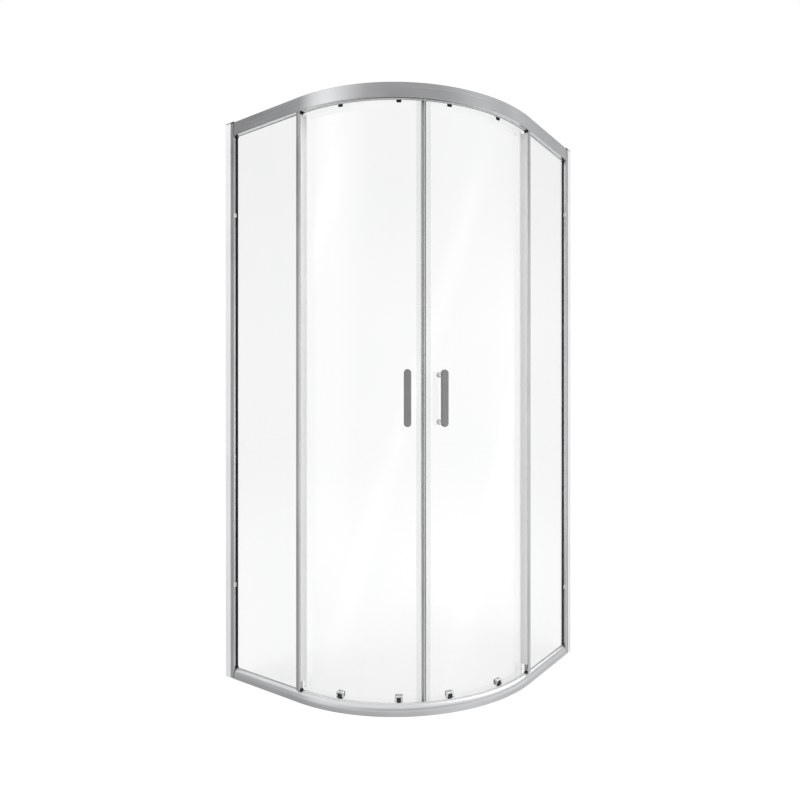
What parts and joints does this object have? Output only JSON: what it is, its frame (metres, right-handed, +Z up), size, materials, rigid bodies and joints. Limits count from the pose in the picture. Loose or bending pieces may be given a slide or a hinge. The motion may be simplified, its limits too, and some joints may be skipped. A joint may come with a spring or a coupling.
{
  "type": "shower enclosure",
  "caption": "Quadrant corner shower enclosure with fixed side glass, curved sliding glass doors meeting at a magnetic seal, and a bright aluminium frame.",
  "frame": {"origin": "centre of the bounding box at the underside of the bottom rail and wall channels", "axes": "+Z up; the room corner is towards -X and +Y, wall A is the plane at -X, wall B the plane at +Y, and the doors meet on the diagonal towards +X and -Y"},
  "size_m": [0.89, 0.89, 1.9],
  "materials": {
    "frame_aluminium": "bright polished anodised",
    "channel_aluminium": "pale satin anodised",
    "clear_glass": "clear toughened",
    "black_plastic": "moulded nylon",
    "black_rubber": "soft EPDM",
    "seal_plastic": "translucent soft PVC",
    "clear_plastic": "translucent hard plastic",
    "magnet_strip": "flexible magnet strip",
    "handle_metal": "satin",
    "screw_steel": "stainless",
    "chrome": "chromed",
    "white_nylon": "nylon"
  },
  "bodies": {
    "frame": {"wall_channel_left": "channel_aluminium", "wall_channel_right": "channel_aluminium", "wall_post_left": "frame_aluminium", "wall_post_right": "frame_aluminium", "channel_caps": "black_plastic", "wall_gaskets": "black_rubber", "post_clips": "clear_plastic", "top_rail": "frame_aluminium", "bottom_rail": "frame_aluminium", "rail_connectors": "black_plastic", "frame_screws": "screw_steel", "fixed_glass_left": "clear_glass", "fixed_glass_right": "clear_glass", "glazing_strips": "seal_plastic", "setting_blocks": "black_rubber", "end_post_left": "frame_aluminium", "end_post_right": "frame_aluminium", "end_post_feet": "black_rubber", "sweep_seals": "seal_plastic", "door_stops": "black_rubber"},
    "door_left": {"door_glass_left": "clear_glass", "trailing_seal_left": "seal_plastic", "magnet_profile_left": "seal_plastic", "magnet_left": "magnet_strip", "handle_left": "handle_metal", "handle_washers_left": "clear_plastic", "handle_screws_left": "screw_steel", "roller_carriers_left": "black_plastic", "roller_axles_left": "screw_steel", "roller_knobs_left": "chrome", "guide_housings_left": "chrome", "guide_backplates_left": "chrome", "guide_spring_left_rear": "screw_steel", "guide_spring_left_front": "screw_steel"},
    "door_right": {"door_glass_right": "clear_glass", "trailing_seal_right": "seal_plastic", "magnet_profile_right": "seal_plastic", "magnet_right": "magnet_strip", "handle_right": "handle_metal", "handle_washers_right": "clear_plastic", "handle_screws_right": "screw_steel", "roller_carriers_right": "black_plastic", "roller_axles_right": "screw_steel", "roller_knobs_right": "chrome", "guide_housings_right": "chrome", "guide_backplates_right": "chrome", "guide_spring_right_rear": "screw_steel", "guide_spring_right_front": "screw_steel"},
    "roller_left_rear_body": {"roller_left_rear": "white_nylon"},
    "slider_left_rear": {"guide_slider_left_rear": "black_plastic"},
    "wheel_left_rear": {"guide_wheel_left_rear": "white_nylon"},
    "roller_left_front_body": {"roller_left_front": "white_nylon"},
    "slider_left_front": {"guide_slider_left_front": "black_plastic"},
    "wheel_left_front": {"guide_wheel_left_front": "white_nylon"},
    "roller_right_rear_body": {"roller_right_rear": "white_nylon"},
    "slider_right_rear": {"guide_slider_right_rear": "black_plastic"},
    "wheel_right_rear": {"guide_wheel_right_rear": "white_nylon"},
    "roller_right_front_body": {"roller_right_front": "white_nylon"},
    "slider_right_front": {"guide_slider_right_front": "black_plastic"},
    "wheel_right_front": {"guide_wheel_right_front": "white_nylon"}
  },
  "joints": [
    {"name": "door_left_slide", "type": "hinge", "parent": "frame", "child": "door_left", "pos_m": [-0.09, 0.09, 0], "axis": [0, 0, -1], "range_deg": [0, 24]},
    {"name": "door_right_slide", "type": "hinge", "parent": "frame", "child": "door_right", "pos_m": [-0.09, 0.09, 0], "axis": [0, 0, 1], "range_deg": [0, 24]},
    {"name": "roller_left_rear_spin", "type": "hinge", "parent": "door_left", "child": "roller_left_rear_body", "pos_m": [0.04187, -0.40214, 1.8758], "axis": [0.2588, -0.9659, 0], "range_deg": [0, 1064]},
    {"name": "guide_left_rear_lift", "type": "slide", "parent": "door_left", "child": "slider_left_rear", "axis": [0, 0, 1], "range_m": [0, 0.004], "stiffness_N_per_m": 300, "springref_m": -0.01, "deforming": ["guide_spring_left_rear"]},
    {"name": "guide_left_rear_spin", "type": "hinge", "parent": "slider_left_rear", "child": "wheel_left_rear", "pos_m": [0.04114, -0.39943, 0.0043], "axis": [0, 0, 1], "range_deg": [0, 1762]},
    {"name": "roller_left_front_spin", "type": "hinge", "parent": "door_left", "child": "roller_left_front_body", "pos_m": [0.20948, -0.32219, 1.8758], "axis": [0.5878, -0.809, 0], "range_deg": [0, 1064]},
    {"name": "guide_left_front_lift", "type": "slide", "parent": "door_left", "child": "slider_left_front", "axis": [0, 0, 1], "range_m": [0, 0.004], "stiffness_N_per_m": 300, "springref_m": -0.01, "deforming": ["guide_spring_left_front"]},
    {"name": "guide_left_front_spin", "type": "hinge", "parent": "slider_left_front", "child": "wheel_left_front", "pos_m": [0.20783, -0.31993, 0.0043], "axis": [0, 0, 1], "range_deg": [0, 1762]},
    {"name": "roller_right_rear_spin", "type": "hinge", "parent": "door_right", "child": "roller_right_rear_body", "pos_m": [0.40214, -0.04187, 1.8758], "axis": [-0.9659, 0.2588, 0], "range_deg": [0, 1064]},
    {"name": "guide_right_rear_lift", "type": "slide", "parent": "door_right", "child": "slider_right_rear", "axis": [0, 0, 1], "range_m": [0, 0.004], "stiffness_N_per_m": 300, "springref_m": -0.01, "deforming": ["guide_spring_right_rear"]},
    {"name": "guide_right_rear_spin", "type": "hinge", "parent": "slider_right_rear", "child": "wheel_right_rear", "pos_m": [0.39943, -0.04114, 0.0043], "axis": [0, 0, -1], "range_deg": [0, 1762]},
    {"name": "roller_right_front_spin", "type": "hinge", "parent": "door_right", "child": "roller_right_front_body", "pos_m": [0.32219, -0.20948, 1.8758], "axis": [-0.809, 0.5878, 0], "range_deg": [0, 1064]},
    {"name": "guide_right_front_lift", "type": "slide", "parent": "door_right", "child": "slider_right_front", "axis": [0, 0, 1], "range_m": [0, 0.004], "stiffness_N_per_m": 300, "springref_m": -0.01, "deforming": ["guide_spring_right_front"]},
    {"name": "guide_right_front_spin", "type": "hinge", "parent": "slider_right_front", "child": "wheel_right_front", "pos_m": [0.31993, -0.20783, 0.0043], "axis": [0, 0, -1], "range_deg": [0, 1762]}
  ],
  "couplings": [
    {"joint": "roller_left_rear_spin", "follows": "door_left_slide", "ratio": 44.304},
    {"joint": "guide_left_rear_spin", "follows": "door_left_slide", "ratio": 73.386},
    {"joint": "roller_left_front_spin", "follows": "door_left_slide", "ratio": 44.304},
    {"joint": "guide_left_front_spin", "follows": "door_left_slide", "ratio": 73.386},
    {"joint": "roller_right_rear_spin", "follows": "door_right_slide", "ratio": 44.304},
    {"joint": "guide_right_rear_spin", "follows": "door_right_slide", "ratio": 73.386},
    {"joint": "roller_right_front_spin", "follows": "door_right_slide", "ratio": 44.304},
    {"joint": "guide_right_front_spin", "follows": "door_right_slide", "ratio": 73.386}
  ]
}
